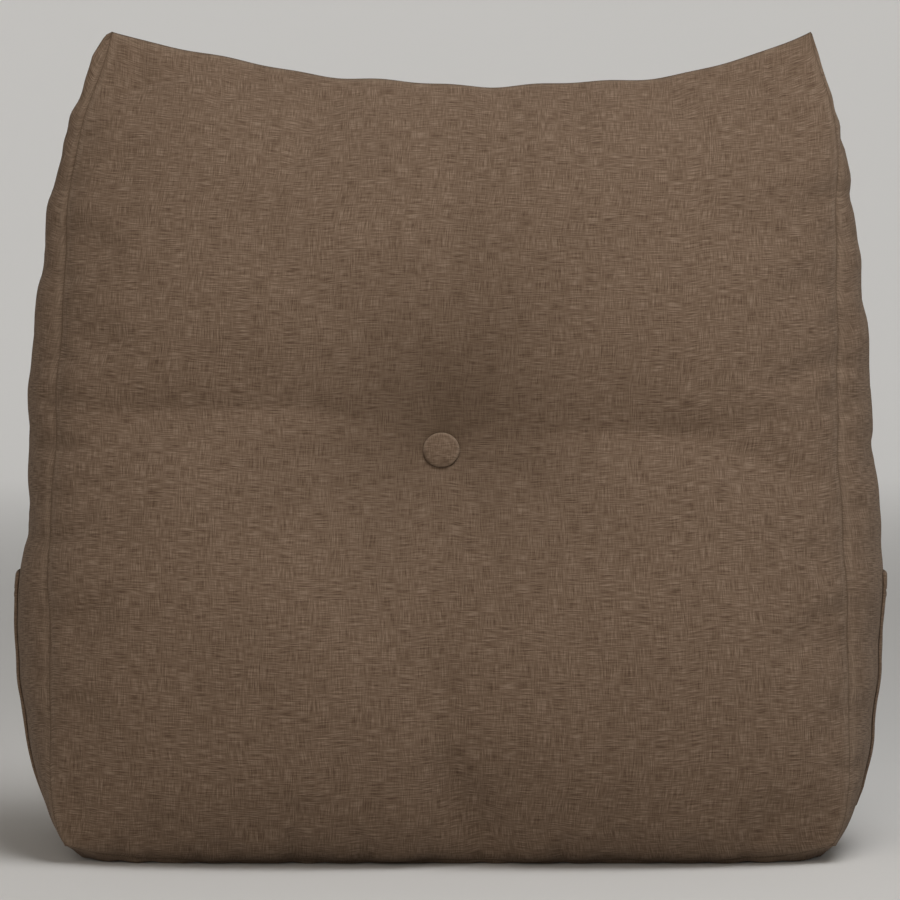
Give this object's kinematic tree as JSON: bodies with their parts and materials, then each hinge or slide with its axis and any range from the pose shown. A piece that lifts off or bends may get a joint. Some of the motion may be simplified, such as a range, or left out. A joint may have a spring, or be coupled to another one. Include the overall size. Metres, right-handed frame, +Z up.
{
  "type": "wedge backrest pillow",
  "caption": "Filled wedge backrest pillow in woven cloth, with a sloped, button-tufted front, a thick base to stand on, pointed top corners and side patch pockets.",
  "frame": {"origin": "middle of the pillow's width and depth, on the surface that its base stands on", "axes": "+X along the width, to the right seen from the front; +Y from the sloped front to the upright back; +Z up"},
  "size_m": [0.5288, 0.218, 0.494],
  "materials": {
    "cover": "matte melange plain weave in brown, like heavy linen",
    "button": "button covered in the cover's matte plain weave",
    "pocket": "the cover's matte plain weave, hemmed along the top"
  },
  "bodies": {
    "root": {"cushion": "cover", "tuft_button": "button", "side_pocket_left": "pocket", "side_pocket_right": "pocket"}
  },
  "joints": []
}
